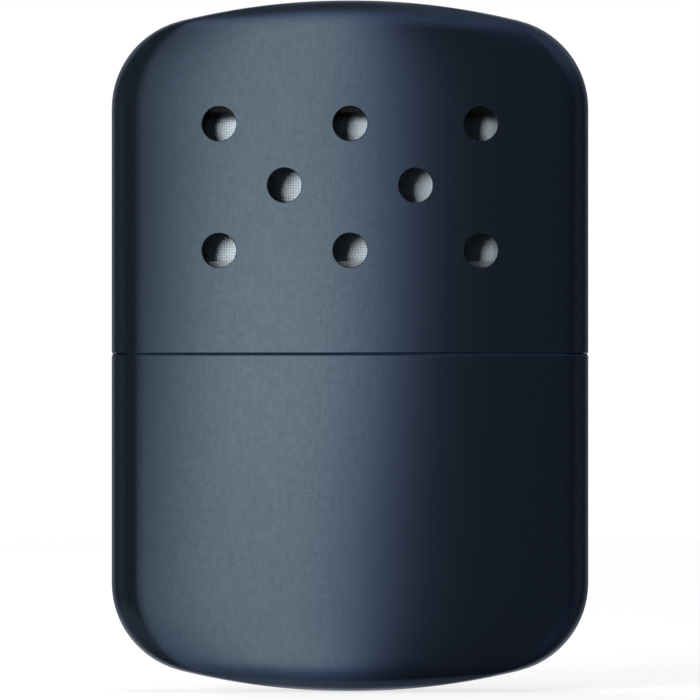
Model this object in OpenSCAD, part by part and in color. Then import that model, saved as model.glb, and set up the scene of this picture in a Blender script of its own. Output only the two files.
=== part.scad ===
// Catalytic hand warmer: a drawn tank packed with cotton, a catalytic burner on its neck and a
// vented lid that pulls off upwards. Millimetres, +Z up, the front faces -Y, and the origin is
// the lowest point of the base.

/* [Case] */
// Width of the case from side to side
body_w = 67; // [63:0.5:72]
// Thickness of the case from front to back
body_t = 14; // [13:0.25:18]
// Height of the base, from its lowest point to its rim
base_h = 47.2; // [42:0.2:55]
// Height of the lid, from its rim to its highest point
lid_h = 49.55; // [46:0.05:56]
// Gap between the rim of the base and the rim of the lid
seam_gap = 0.25; // [0.2:0.05:0.5]
// Sheet thickness of the base and the lid
shell_wall = 0.5; // [0.4:0.05:0.8]

/* [Outline] */
// Radius of the shallow dome at each end, seen from the front
dome_r = 100.5; // [80:0.5:140]
// Radius of the four corners, seen from the front
corner_r = 12.7; // [9:0.1:16]
// Radius of the two narrow sides, seen from above
side_r = 4.5; // [3.5:0.1:5.5]
// Length over which each end rounds over, seen from the side
nose_len = 5; // [3.5:0.1:7]
// Fullness of that rounding: 2 is an ellipse, more is blunter
nose_power = 2.5; // [2:0.1:4]

/* [Vents] */
// Diameter of a vent
vent_d = 4.8; // [4.2:0.1:5.6]
// Distance between the vents of the top and bottom rows
vent_pitch = 18.3; // [15:0.1:19]
// Distance from the top of the lid down to the top row
vent_row_1 = 17.5; // [16:0.1:19]
// Distance from the top of the lid down to the middle row
vent_row_2 = 26.1; // [25:0.1:28]
// Distance from the top of the lid down to the bottom row
vent_row_3 = 35.2; // [34:0.1:37]

/* [Tank collar] */
// Sheet thickness of the collar
collar_wall = 0.5; // [0.4:0.05:0.8]
// Depth to which the collar reaches down into the base
collar_depth = 9.2; // [6:0.2:14]
// Height of the collar's shoulder above the rim of the base
shoulder_h = 5.8; // [5:0.1:8]
// Radius of the shoulder's outer edge
shoulder_r = 1.2; // [0.9:0.1:1.8]
// Amount by which the stop bead stands out from the collar's wall
bead_out = 0.35; // [0.2:0.05:0.45]

/* [Filler neck] */
// Width of the neck
neck_w = 43; // [38:0.5:46]
// Thickness of the neck from front to back
neck_t = 7; // [6.4:0.1:7.6]
// Radius of the neck's narrow ends
neck_side_r = 2.4; // [1.8:0.1:2.8]
// Sheet thickness of the neck
neck_wall = 0.4; // [0.3:0.05:0.6]
// Height of the neck above the shoulder
neck_h = 4.5; // [4:0.1:6]
// Depth of the neck below the shoulder
neck_drop = 2.5; // [2:0.1:4]
// Width of the flange that is soldered under the shoulder
flange_w = 1.5; // [1:0.1:2.5]
// Thickness of the felt plug in the neck
felt_t = 2.3; // [1.5:0.1:3]
// Thickness of the gauze on the felt plug
neck_gauze_t = 0.2; // [0.15:0.05:0.4]

/* [Wadding] */
// Thickness of the felt sheet over the wadding
cover_t = 0.9; // [0.5:0.1:2]

/* [Burner] */
// Sheet thickness of the skirt, the casing and the cap
burner_wall = 0.3; // [0.25:0.05:0.4]
// Height of the skirt above the top of the neck
skirt_rise = 2.3; // [2:0.1:3]
// Height of the casing
casing_h = 25.6; // [22:0.1:28]
// Length of the casing that the neck still reaches into
casing_lap = 0.3; // [0.1:0.1:0.8]
// Width of the bars between the casing's slots
bar_w = 2.2; // [1.6:0.1:3]
// Width of the casing's side left beyond the outer slots
spine_w = 1.35; // [1:0.05:2]
// Corner radius of the slots
slot_r = 0.8; // [0.4:0.1:1.2]
// Depth of the cap's rim over the casing
cap_rim = 1.4; // [1:0.1:2]
// Width of the lip that the cap turns in over the catalyst
cap_lip = 2.3; // [1.8:0.1:2.6]
// Thickness of the pierced floor under the catalyst
grid_t = 0.3; // [0.2:0.05:0.5]
// Diameter of the holes in that floor
grid_hole_d = 1.8; // [1.2:0.1:2.4]
// Thickness of the catalyst cloth
cloth_t = 0.7; // [0.4:0.05:1]
// Thickness of the gauze former inside the cloth
former_t = 0.2; // [0.15:0.05:0.3]
// Diameter of a rivet's head
rivet_head_d = 1.4; // [1.2:0.1:1.6]

/* [Clearances] */
// Running gap between sleeves that slide over each other
slide_gap = 0.12; // [0.08:0.01:0.2]
// Gap between metal pieces that are fixed together
joint_gap = 0.05; // [0.03:0.01:0.08]
// Gap round the soft pieces
soft_gap = 0.3; // [0.2:0.05:0.4]
// Gap round the soft pieces inside the burner
burner_soft_gap = 0.15; // [0.1:0.05:0.2]

/* [Hidden] */

paint = [0.17, 0.21, 0.26];
bright = [0.80, 0.81, 0.83];
satin_steel = [0.66, 0.67, 0.69];
cotton = [0.93, 0.92, 0.88];
felt = [0.80, 0.76, 0.66];
glass_fibre = [0.86, 0.86, 0.84];

low_batts = 4; // cotton layers below the collar, one node each
face_n = 24;   // steps along each broad face of an oval
end_n = 12;    // steps round each narrow end of an oval
ring_n = 2 * (face_n + end_n);
nose_n = 12;   // rings between the straight part of the case and its end
nose_ease = 2.2;
fillet_n = 3;  // rings round the shoulder's edge
flat_tip = 0.05;
round_fn = 32;

body_h = base_h + seam_gap + lid_h;
seam_top = base_h + seam_gap;

// The collar, as insets from the outside of the case
collar_out = shell_wall + slide_gap;
collar_in = collar_out + collar_wall;
bead_in = collar_out - bead_out;
bead_h = seam_gap - joint_gap;
collar_low = base_h - collar_depth;
shoulder_z = base_h + shoulder_h;

neck_top = shoulder_z + neck_h;
neck_low = shoulder_z - neck_drop;
flange_z = shoulder_z - collar_wall;
flange_t = neck_wall;
felt_low = flange_z - felt_t + collar_wall;
felt_top = felt_low + felt_t;

cover_top = neck_low - soft_gap;
cover_low = cover_top - cover_t;
batt_floor = shell_wall + soft_gap;
batt_h = (collar_low - soft_gap - batt_floor + soft_gap) / low_batts - soft_gap;

skirt_low = shoulder_z + joint_gap;
skirt_top = neck_top + skirt_rise;
casing_low = neck_top - casing_lap;
casing_top = casing_low + casing_h;
cap_low = casing_top - cap_rim;
cap_top = casing_top + joint_gap + burner_wall;
cap_edge_r = 2.5 * burner_wall;
grid_top = skirt_top + grid_t;
slot_low = grid_top + slot_r / 4;
slot_top = cap_low - slot_r / 4;
rivet_z = neck_top + skirt_rise / 2;
rivet_gap = 0.02;
rivet_shank_r = rivet_head_d / 4;
rivet_tail_r = rivet_head_d * 0.4;
rivet_head_t = 0.25;
rivet_tail_t = 0.12;

// The burner's sleeves, as offsets outwards from the outside of the neck
skirt_in = slide_gap;
skirt_out = skirt_in + burner_wall;
casing_in = skirt_out + joint_gap;
casing_out = casing_in + burner_wall;
cap_in = casing_out + joint_gap;
cap_out = cap_in + burner_wall;
cloth_out = casing_in - burner_soft_gap;
cloth_in = cloth_out - cloth_t;
former_out = cloth_in - burner_soft_gap;
former_in = former_out - former_t;
core_out = former_in - burner_soft_gap;
cloth_low = grid_top + joint_gap;
cloth_top = casing_top + joint_gap - soft_gap;
cloth_edge_r = 1.2;
former_top = cloth_top - cloth_t - burner_soft_gap;
core_top = former_top - cloth_t;
mesh_hole_r = 0.8;
mesh_pitch = 2.6;
slot_out = neck_w / 2 + casing_out - spine_w;

// Centres of the bars, between the columns of vents
bar_x = [for (i = [-1.5 : 1 : 1.5]) i * vent_pitch / 2];
slot_left = concat([-slot_out], [for (x = bar_x) x + bar_w / 2]);
slot_right = concat([for (x = bar_x) x - bar_w / 2], [slot_out]);

// Radius of the broad faces of an oval 2a wide and 2b thick, with ends of radius r
function face_r(a, b, r) = ((a - r) * (a - r) + b * b - r * r) / (2 * (b - r));

// Angle of the normal where a broad face meets a narrow end
function join_angle(a, b, r) = asin((a - r) / (face_r(a, b, r) - r));

// Points of such an oval, clockwise seen from above, from the left end of its +Y face
function oval(a, b, r) =
    let (R = face_r(a, b, r), j = join_angle(a, b, r), sweep = 180 - 2 * j)
    concat(
        [for (i = [0 : face_n - 1]) let (t = -j + 2 * j * i / face_n)
            [R * sin(t), b - R + R * cos(t)]],
        [for (i = [0 : end_n - 1]) let (t = j + sweep * i / end_n)
            [a - r + r * sin(t), r * cos(t)]],
        [for (i = [0 : face_n - 1]) let (t = 180 - j + 2 * j * i / face_n)
            [R * sin(t), R - b + R * cos(t)]],
        [for (i = [0 : end_n - 1]) let (t = 180 + j + sweep * i / end_n)
            [r - a + r * sin(t), r * cos(t)]]
    );

// Half width of the front outline, d below the tip of an end that is inset by s
function half_w(d, s) =
    let (A = body_w / 2 - s, R = dome_r - s, c = corner_r - s)
    let (fall = sqrt((R - c) * (R - c) - (A - c) * (A - c)), straight = R - fall)
    let (dome_end = R - R * fall / (R - c))
    d >= straight ? A
    : d <= dome_end ? sqrt(2 * R * d - d * d)
    : A - c + sqrt(c * c - (straight - d) * (straight - d));

// Half thickness, d below the tip of an end that is inset by s
function half_t(d, s) =
    let (b = body_t / 2 - s, n = nose_len - s)
    d >= n ? b : b * pow(1 - pow(1 - d / n, nose_power), 1 / nose_power);

// Length of an end in which the front outline isn't straight yet
function end_len(s) =
    let (A = body_w / 2 - s, R = dome_r - s, c = corner_r - s)
    R - sqrt((R - c) * (R - c) - (A - c) * (A - c));

// Section of the case at height z, inset by s from its outside
function case_ring(z, s) =
    let (d = max(flat_tip, min(z - s, body_h - s - z)))
    let (a = body_w / 2 - s, b = body_t / 2 - s)
    let (kx = half_w(d, s) / a, ky = half_t(d, s) / b)
    [for (p = oval(a, b, side_r - s)) [p.x * kx, p.y * ky, z]];

// Distances from a tip at which the rings of an end lie
function nose_steps(s) = [for (i = [0 : nose_n]) end_len(s) * pow(i / nose_n, nose_ease)];

// Section of the straight part of the case, inset by s, flat and at height z
function case_oval(s) = oval(body_w / 2 - s, body_t / 2 - s, side_r - s);
function straight_ring(z, s) = [for (p = case_oval(s)) [p.x, p.y, z]];

// Section of the neck, moved outwards by s, flat and at height z
function neck_oval(s) = oval(neck_w / 2 + s, neck_t / 2 + s, neck_side_r + s);
function neck_ring(z, s) = [for (p = neck_oval(s)) [p.x, p.y, z]];

function reversed(list) = [for (i = [len(list) - 1 : -1 : 0]) list[i]];

// Joins rings of ring_n points into one skin. The rings run up an outside and down an inside.
// An open skin has its first and last ring closed by a flat face.
module skin(rings, closed = false) {
    n = len(rings);
    points = [for (ring = rings) each ring];
    sides = [
        for (k = [0 : closed ? n - 1 : n - 2], i = [0 : ring_n - 1])
        let (j = (i + 1) % ring_n, a = k * ring_n, b = ((k + 1) % n) * ring_n)
        each [[a + j, b + j, b + i], [a + j, b + i, a + i]]
    ];
    ends = closed ? [] : [
        [for (i = [ring_n - 1 : -1 : 0]) i],
        [for (i = [0 : ring_n - 1]) (n - 1) * ring_n + i]
    ];
    polyhedron(points, concat(sides, ends));
}

// Straight block from height z0 to z1 with the given section
module block(z0, z1, section) {
    translate([0, 0, z0]) linear_extrude(z1 - z0) polygon(section);
}

// Straight sleeve of the neck's section, from offset s_in out to s_out
module neck_sleeve(z0, z1, s_in, s_out) {
    translate([0, 0, z0]) linear_extrude(z1 - z0) difference() {
        polygon(neck_oval(s_out));
        polygon(neck_oval(s_in));
    }
}

// A cylinder along Y, centred on the XZ plane
module across(x, z, r, depth) {
    translate([x, 0, z]) rotate([90, 0, 0])
        cylinder(h = depth, r = r, center = true, $fn = round_fn);
}

// Rectangle from [x0, z0] to [x1, z1] with round corners, cut through along Y
module slot_cut(x0, x1, z0, z1, depth) {
    translate([0, depth / 2, 0]) rotate([90, 0, 0]) linear_extrude(depth) {
        translate([x0 + slot_r, z0]) square([x1 - x0 - 2 * slot_r, z1 - z0]);
        translate([x0, z0 + slot_r]) square([x1 - x0, z1 - z0 - 2 * slot_r]);
        for (x = [x0 + slot_r, x1 - slot_r], z = [z0 + slot_r, z1 - slot_r])
            translate([x, z]) circle(slot_r, $fn = round_fn);
    }
}

// The drawn case of the tank, open at its rim
module base_shell() {
    outside = [for (d = nose_steps(0)) case_ring(d, 0)];
    inside = [for (d = nose_steps(shell_wall)) case_ring(d + shell_wall, shell_wall)];
    color(paint) skin(concat(
        outside,
        [straight_ring(base_h, 0), straight_ring(base_h, shell_wall)],
        reversed(inside)
    ));
}

// The drawn lid, open at its rim, with the same vents in its front and its back
module lid_shell() {
    outside = [for (d = nose_steps(0)) case_ring(body_h - d, 0)];
    inside = [
        for (d = nose_steps(shell_wall)) case_ring(body_h - shell_wall - d, shell_wall)
    ];
    color(paint) difference() {
        skin(concat(
            inside,
            [straight_ring(seam_top, shell_wall), straight_ring(seam_top, 0)],
            reversed(outside)
        ));
        for (x = [-1, 0, 1], row = [vent_row_1, vent_row_3])
            across(x * vent_pitch, body_h - row, vent_d / 2, 2 * body_t);
        for (x = [-0.5, 0.5])
            across(x * vent_pitch, body_h - vent_row_2, vent_d / 2, 2 * body_t);
    }
}

// The collar: a wall in the base and the lid, a stop bead between them and a shoulder
module tank_collar() {
    bend = [for (i = [0 : fillet_n]) i * 90 / fillet_n];
    outer_edge = [
        for (t = bend)
        straight_ring(shoulder_z - shoulder_r + shoulder_r * sin(t),
            collar_out + shoulder_r * (1 - cos(t)))
    ];
    inner_r = shoulder_r - collar_wall;
    inner_edge = [
        for (t = reversed(bend))
        straight_ring(shoulder_z - shoulder_r + inner_r * sin(t),
            collar_out + shoulder_r - inner_r * cos(t))
    ];
    color(bright) skin(concat(
        [
            straight_ring(collar_low, collar_out),
            straight_ring(base_h, collar_out),
            straight_ring(base_h, bead_in),
            straight_ring(base_h + bead_h, bead_in),
            straight_ring(base_h + bead_h, collar_out)
        ],
        outer_edge,
        [neck_ring(shoulder_z, joint_gap), neck_ring(flange_z, joint_gap)],
        inner_edge,
        [straight_ring(collar_low, collar_in)]
    ), closed = true);
}

// The neck: a ferrule through the shoulder with a flange under it
module filler_neck() {
    color(bright) skin([
        neck_ring(neck_low, 0),
        neck_ring(flange_z - flange_t, 0),
        neck_ring(flange_z - flange_t, flange_w),
        neck_ring(flange_z, flange_w),
        neck_ring(flange_z, 0),
        neck_ring(neck_top, 0),
        neck_ring(neck_top, -neck_wall),
        neck_ring(neck_low, -neck_wall)
    ], closed = true);
}

module neck_gauze() {
    hole_r = 0.6;
    pitch = 2.4;
    half = floor((neck_w / 2 - neck_side_r) / pitch - 0.5);
    color(satin_steel) difference() {
        block(felt_top, felt_top + neck_gauze_t, neck_oval(-neck_wall - slide_gap));
        for (i = [-half : half], y = [-pitch / 2, pitch / 2])
            translate([i * pitch, y, felt_top - 1])
                cylinder(h = neck_gauze_t + 2, r = hole_r, $fn = 16);
    }
}

module neck_felt() {
    color(felt) block(felt_low, felt_top, neck_oval(-neck_wall - burner_soft_gap));
}

module wadding_cover() {
    color(felt) block(cover_low, cover_top, case_oval(collar_in + soft_gap));
}

// One layer of cotton: 1 to low_batts fill the case, the next one fills the collar
module cotton_batt(i) {
    in_collar = i > low_batts;
    s = in_collar ? collar_in + soft_gap : batt_floor;
    z0 = in_collar ? collar_low : batt_floor + (i - 1) * (batt_h + soft_gap);
    z1 = in_collar ? cover_low - soft_gap : z0 + batt_h;
    bends = [for (d = nose_steps(s)) if (d + s > z0 && d + s < z1) d + s];
    color(cotton)
        if (len(bends) > 0) skin([for (z = concat([z0], bends, [z1])) case_ring(z, s)]);
        else block(z0, z1, case_oval(s));
}

module burner_skirt() {
    color(satin_steel) difference() {
        neck_sleeve(skirt_low, skirt_top, skirt_in, skirt_out);
        rivet_holes();
    }
}

module rivet_holes() {
    for (x = [bar_x[0], bar_x[3]])
        across(x, rivet_z, rivet_shank_r + joint_gap, 2 * body_t);
}

module burner_casing() {
    color(satin_steel) difference() {
        neck_sleeve(casing_low, casing_top, casing_in, casing_out);
        for (i = [0 : len(slot_left) - 1])
            slot_cut(slot_left[i], slot_right[i], slot_low, slot_top, 2 * body_t);
        rivet_holes();
    }
}

// The cap: a shallow pan turned over the top of the casing
module burner_cap() {
    color(satin_steel) skin([
            neck_ring(cap_low, cap_out),
            neck_ring(cap_top - cap_edge_r, cap_out),
            neck_ring(cap_top - cap_edge_r * 0.3, cap_out - cap_edge_r * 0.3),
            neck_ring(cap_top, cap_out - cap_edge_r),
            neck_ring(cap_top, cap_out - cap_lip),
            neck_ring(cap_top - burner_wall, cap_out - cap_lip),
            neck_ring(cap_top - burner_wall, cap_in),
            neck_ring(cap_low, cap_in)
        ], closed = true);
}

module burner_grid() {
    pitch = 2 * grid_hole_d + 0.6;
    half = floor((neck_w / 2 - neck_side_r) / pitch);
    color(satin_steel) difference() {
        block(skirt_top, grid_top, neck_oval(casing_in - joint_gap));
        for (i = [-half : half])
            translate([i * pitch, 0, skirt_top - 1])
                cylinder(h = grid_t + 2, d = grid_hole_d, $fn = 24);
    }
}

// The catalyst sock, closed at its top
module catalyst_cloth() {
    color(glass_fibre) skin([
        neck_ring(cloth_top - cloth_t, cloth_in),
        neck_ring(cloth_low, cloth_in),
        neck_ring(cloth_low, cloth_out),
        neck_ring(cloth_top - cloth_edge_r, cloth_out),
        neck_ring(cloth_top - cloth_edge_r * 0.3, cloth_out - cloth_edge_r * 0.3),
        neck_ring(cloth_top, cloth_out - cloth_edge_r)
    ]);
}

// The pierced former inside the sock
module support_gauze() {
    half_x = floor((slot_out - mesh_hole_r) / mesh_pitch);
    rows = floor((former_top - cloth_low) / mesh_pitch) - 1;
    color(satin_steel) difference() {
        neck_sleeve(cloth_low, former_top, former_in, former_out);
        for (i = [-half_x + 1 : half_x - 1], k = [1 : rows])
            across(i * mesh_pitch, cloth_low + k * mesh_pitch, mesh_hole_r, body_t);
    }
}

module catalyst_core() {
    color(cotton) block(cloth_low, core_top, neck_oval(core_out));
}

// Height of the broad face of a sleeve of the neck's section, s outside it, at x
function face_y(x, s) =
    let (b = neck_t / 2 + s, R = face_r(neck_w / 2 + s, b, neck_side_r + s))
    b - R + sqrt(R * R - x * x);

// Four rivets through the casing and the skirt, above the neck
module casing_rivets() {
    x = bar_x[3];
    head_y = face_y(x - rivet_head_d / 2, casing_out) + rivet_gap;
    tail_y = face_y(x + rivet_tail_r, skirt_in) - rivet_gap;
    color(bright) for (sx = [-x, x], turn = [0, 180])
        rotate([0, 0, turn]) translate([sx, 0, rivet_z]) rotate([90, 0, 0]) {
            translate([0, 0, tail_y - rivet_tail_t])
                cylinder(h = rivet_tail_t, r = rivet_tail_r, $fn = round_fn);
            translate([0, 0, tail_y - rivet_tail_t])
                cylinder(h = head_y - tail_y + rivet_tail_t + rivet_head_t / 2,
                    r = rivet_shank_r, $fn = round_fn);
            translate([0, 0, head_y])
                cylinder(h = rivet_head_t, d1 = rivet_head_d, d2 = rivet_head_d * 0.6,
                    $fn = round_fn);
        }
}

base_shell();
tank_collar();
filler_neck();
neck_gauze();
neck_felt();
wadding_cover();
cotton_batt(1);  // cotton_batt_1
cotton_batt(2);  // cotton_batt_2
cotton_batt(3);  // cotton_batt_3
cotton_batt(4);  // cotton_batt_4
cotton_batt(5);  // cotton_batt_5
lid_shell();
burner_skirt();
burner_casing();
burner_cap();
burner_grid();
catalyst_cloth();
support_gauze();
catalyst_core();
casing_rivets();
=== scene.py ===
"""A pocket catalytic hand warmer, dressed piece by piece round its packed model.

Lengths are in metres, +Z is up and the front faces -Y. Every operator makes one piece or one
group of like pieces at its place in the model, and main() runs them in order.
"""
import math

import bpy
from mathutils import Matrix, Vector, noise


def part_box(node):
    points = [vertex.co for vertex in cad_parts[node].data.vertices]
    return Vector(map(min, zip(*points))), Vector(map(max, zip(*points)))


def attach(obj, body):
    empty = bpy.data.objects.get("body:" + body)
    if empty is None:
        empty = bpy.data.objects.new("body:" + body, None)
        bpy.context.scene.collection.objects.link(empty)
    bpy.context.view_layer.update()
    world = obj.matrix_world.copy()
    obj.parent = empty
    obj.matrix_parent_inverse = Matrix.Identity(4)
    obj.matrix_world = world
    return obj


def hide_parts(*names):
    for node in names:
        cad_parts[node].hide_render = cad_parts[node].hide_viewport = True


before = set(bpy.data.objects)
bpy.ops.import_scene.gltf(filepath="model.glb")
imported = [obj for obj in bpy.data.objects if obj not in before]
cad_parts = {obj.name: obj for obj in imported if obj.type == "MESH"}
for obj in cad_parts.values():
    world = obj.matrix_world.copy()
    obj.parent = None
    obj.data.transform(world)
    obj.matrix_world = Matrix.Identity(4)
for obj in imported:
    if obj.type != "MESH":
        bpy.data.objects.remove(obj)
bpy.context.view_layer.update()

bl_info = {
    "name": "Catalytic hand warmer",
    "version": (1, 0, 0),
    "blender": (4, 5, 0),
    "location": "3D View > Sidebar > Hand warmer",
    "description": "Builds a pocket catalytic hand warmer and the studio it is shown in",
    "category": "Add Mesh",
}

MM = 0.001
NODE_BOX = {name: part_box(name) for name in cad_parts}

# Fineness of the meshes: steps along a broad face, round a narrow end and round a small edge
FACE_STEPS = 64
END_STEPS = 28
EDGE_STEPS = 4
# The rings of a shell: how many round its end, how much closer at the tip, and their distance
NOSE_RINGS = 30
NOSE_EASE = 2.2
WALL_RING = 2.4 * MM
# The sock's rows up its side and rings over its top
SOCK_ROWS = 26
SOCK_RINGS = 8
# Steps round what is turned
VENT_STEPS = 64
HOLE_STEPS = 32
RIVET_STEPS = 28
STAGE_STEPS = 96
# Folds sharper than this keep a sharp edge where a punch has cut
CREASE = math.radians(25)


def low(node):
    return NODE_BOX[node][0]


def high(node):
    return NODE_BOX[node][1]


def levels(node):
    return low(node).z, high(node).z


# ---------------------------------------------------------------- sizes and colours

def floats(**kind):
    """A maker of number properties of one kind"""
    def make(name, description, default):
        return bpy.props.FloatProperty(
            name=name, description=description, default=default, **kind)
    return make


length = floats(unit="LENGTH", subtype="DISTANCE", precision=5)
share = floats(min=0, max=1, subtype="FACTOR")
number = floats()


def angle(name, description, degrees):
    return floats(unit="ROTATION", subtype="ANGLE")(name, description, math.radians(degrees))


def colour(name, description, default):
    return bpy.props.FloatVectorProperty(
        name=name, description=description, default=default, min=0, max=1,
        size=3, subtype="COLOR",
    )


class CaseSizes(bpy.types.PropertyGroup):
    """The outline of the case and the sheet it is drawn from"""
    width: length("Width", "Width of the case", high("lid_shell").x - low("lid_shell").x)
    thickness: length(
        "Thickness", "Thickness from front to back", high("lid_shell").y - low("lid_shell").y)
    height: length("Height", "Height of the closed case", high("lid_shell").z)
    base_rim: length("Base rim", "Height of the base's rim", high("base_shell").z)
    lid_rim: length("Lid rim", "Height of the lid's rim", low("lid_shell").z)
    wall: length("Wall", "Sheet thickness of the case", 0.5 * MM)
    dome_radius: length("Dome radius", "Radius of the shallow dome at each end", 100.5 * MM)
    corner_radius: length("Corner radius", "Radius of the corners, from the front", 12.7 * MM)
    side_radius: length("Side radius", "Radius of the narrow sides, from above", 4.5 * MM)
    nose_length: length("Nose length", "Length over which an end rounds over", 5 * MM)
    nose_power: number("Nose fullness", "2 is an ellipse and more is blunter", 2.5)
    rim_round: length("Rim rounding", "Radius on the edges of both rims", 0.16 * MM)


class VentSizes(bpy.types.PropertyGroup):
    """The eight round vents in each broad face of the lid"""
    diameter: length("Diameter", "Diameter of a vent", 4.8 * MM)
    lip: length("Lip", "Radius on the outer edge of a vent", 0.22 * MM)
    pitch: length("Pitch", "Distance between vents in the outer rows", 18.3 * MM)
    top_row: length("Top row", "Depth of the top row below the lid's top", 17.5 * MM)
    middle_row: length("Middle row", "Depth of the middle row", 26.1 * MM)
    bottom_row: length("Bottom row", "Depth of the bottom row", 35.2 * MM)


class TankSizes(bpy.types.PropertyGroup):
    """The bright collar and the neck on top of the tank"""
    slide_gap: length("Slide gap", "Gap between sleeves that slide", 0.12 * MM)
    collar_wall: length("Collar wall", "Sheet thickness of the collar", 0.5 * MM)
    shoulder_radius: length("Shoulder radius", "Radius of the shoulder's edge", 1.2 * MM)
    bead_out: length("Bead", "How far the stop bead stands out", 0.5 * MM)
    bead_height: length("Bead height", "Height of the stop bead", 0.23 * MM)
    neck_wall: length("Neck wall", "Sheet thickness of the neck", 0.4 * MM)
    neck_side_radius: length("Neck side radius", "Radius of the neck's narrow ends", 2.4 * MM)
    flange_width: length("Flange", "Width of the flange under the shoulder", 1.5 * MM)
    screen_pitch: length("Screen pitch", "Distance between the screen's wires", 0.72 * MM)
    screen_wire: length("Screen wire", "Diameter of the screen's wires", 0.09 * MM)


class BurnerSizes(bpy.types.PropertyGroup):
    """The burner that slips over the neck"""
    wall: length("Wall", "Sheet thickness of the skirt, the cage and the cap", 0.3 * MM)
    bar: length("Bar", "Width of the bars between the slots", 2.2 * MM)
    spine: length("Spine", "Width of the side beyond the outer slots", 1.35 * MM)
    slot_corner: length("Slot corner", "Corner radius of the slots", 0.8 * MM)
    cap_lip: length("Cap lip", "Width of the lip turned in at the top", 2.3 * MM)
    cap_edge: length("Cap edge", "Radius of the cap's top edge", 0.75 * MM)
    floor_hole: length("Floor hole", "Diameter of the holes in the floor", 1.8 * MM)
    floor_pitch: length("Floor pitch", "Distance between those holes", 4.2 * MM)
    cloth: length("Cloth", "Thickness of the catalyst cloth", 0.7 * MM)
    cloth_edge: length("Cloth edge", "Radius of the sock's top edge", 1.2 * MM)
    yarn: length("Yarn", "Distance between the yarns of the cloth", 0.36 * MM)
    gauze_pitch: length("Gauze pitch", "Distance between the former's wires", 1.25 * MM)
    gauze_wire: length("Gauze wire", "Diameter of the former's wires", 0.1 * MM)
    rivet_head: length("Rivet head", "Diameter of a rivet's head", 1.4 * MM)


class Finishes(bpy.types.PropertyGroup):
    """The colours of the finishes"""
    paint: colour("Paint", "Metallic slate paint of the case", (0.155, 0.217, 0.285))
    paint_shade: colour("Paint shade", "Darker grain in the paint", (0.127, 0.182, 0.243))
    plate: colour("Bright plate", "Nickel plate of the collar and the neck", (0.72, 0.72, 0.71))
    # Painted shade: the dark line on the plate at the joint stands for the shade in the groove
    # between the two rims
    painted_seam_shade: colour("Seat mark", "Dark mark on the plate where the lid seats", (0.09, 0.16, 0.25))
    steel: colour("Burner steel", "Steel of the burner", (0.46, 0.51, 0.55))
    # Partly a real tint where the burner runs hottest and partly painted shade: it is taken almost
    # to black so that the cap shows dark through the vents
    heat_tint_and_shade: colour("Heat tint", "Tint of the steel where the burner is hottest", (0.055, 0.06, 0.07))
    glass: colour("Glass fibre", "Coated glass-fibre cloth", (0.63, 0.73, 0.8))
    # Painted shade: the dark band along the top of the cloth, under the cap's edge
    painted_top_shade: colour("Burnt edge", "Burnt top of that cloth", (0.045, 0.05, 0.06))
    wool: colour("Glass wool", "Glass wool in the burner", (0.78, 0.78, 0.75))
    cotton: colour("Cotton", "Absorbent cotton", (0.82, 0.8, 0.74))
    felt: colour("Felt", "Felt plug and sheet", (0.58, 0.53, 0.43))


class StageSettings(bpy.types.PropertyGroup):
    """The camera, the floor and the lights"""
    camera_distance: length("Camera distance", "From the lens to the object's middle", 0.9)
    view_width: length("View width", "Width of the picture at the object", 98.4 * MM)
    view_height: length("View height", "Height that the camera looks at", 47.9 * MM)
    sensor: number("Sensor", "Width of the sensor, in millimetres", 36)
    floor_radius: length("Floor radius", "Radius of the pale floor", 3.0)
    floor_white: share("Floor white", "Share of the floor that is plain white", 0.74)
    ambient: number("Ambient", "Strength of the light from all round", 0.015)
    flag: number("Black cloth", "Tone of the black cloth round the set, as metal sees it", 0.019)
    key: number("Key", "Power of the key lamp, in watts", 9.6)
    key_turn: angle("Key turn", "How far the key stands to the left", 45)
    key_rise: angle("Key rise", "Height of the key above the horizon", 14)
    top: number("Top", "Power of the lamp overhead, in watts", 11)
    strip: number("Strip", "Radiance of the tall strip in front, as metal sees it", 1.0)
    strip_left: angle("Strip left", "Left edge of that strip", -20.3)
    strip_right: angle("Strip right", "Right edge of that strip", 2.7)
    strip_soft: angle("Strip softness", "Half the width of its soft edges", 7.7)
    strip_lean: angle("Strip lean", "How far its lower half leans to the left", 2.5)
    tent_radius: length("Tent radius", "Distance of the strip and the cards", 0.4)
    table: number("Table", "Tone of the pale table below", 0.2)
    side_cards: number("Side cards", "Tone of the cards at the sides", 0.032)
    behind: number("Behind", "Tone of the wide card behind", 0.15)
    over: number("Over", "Tone of the card overhead on the right", 0.11)


SETTINGS = {
    "warmer_case": CaseSizes,
    "warmer_vents": VentSizes,
    "warmer_tank": TankSizes,
    "warmer_burner": BurnerSizes,
    "warmer_finishes": Finishes,
    "warmer_stage": StageSettings,
}


def settings(context, *names):
    return [getattr(context.scene, "warmer_" + name) for name in names]


# ---------------------------------------------------------------- the shapes' own formulas

def arc(steps, turn=math.pi / 2):
    """The angles of a turn, from 0"""
    return [turn * k / steps for k in range(steps + 1)]


def face_radius(a, b, r):
    """Radius of the broad faces of an oval 2a wide and 2b thick, with ends of radius r"""
    return ((a - r) ** 2 + b * b - r * r) / (2 * (b - r))


def oval(a, b, r):
    """Points of that oval, clockwise seen from above, from the left end of its +Y face"""
    big = face_radius(a, b, r)
    join = math.asin((a - r) / (big - r))
    sweep = math.pi - 2 * join
    points = []
    for side in (1, -1):
        for i in range(FACE_STEPS):
            t = -join + 2 * join * i / FACE_STEPS
            points.append((side * big * math.sin(t), side * (b - big + big * math.cos(t))))
        for i in range(END_STEPS):
            t = join + sweep * i / END_STEPS
            points.append((side * (a - r + r * math.sin(t)), side * r * math.cos(t)))
    return points


def end_length(case, inset):
    """Length of an end in which the front outline isn't straight yet"""
    dome, corner = case.dome_radius - inset, case.corner_radius - inset
    half = case.width / 2 - inset
    return dome - math.sqrt((dome - corner) ** 2 - (half - corner) ** 2)


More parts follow.
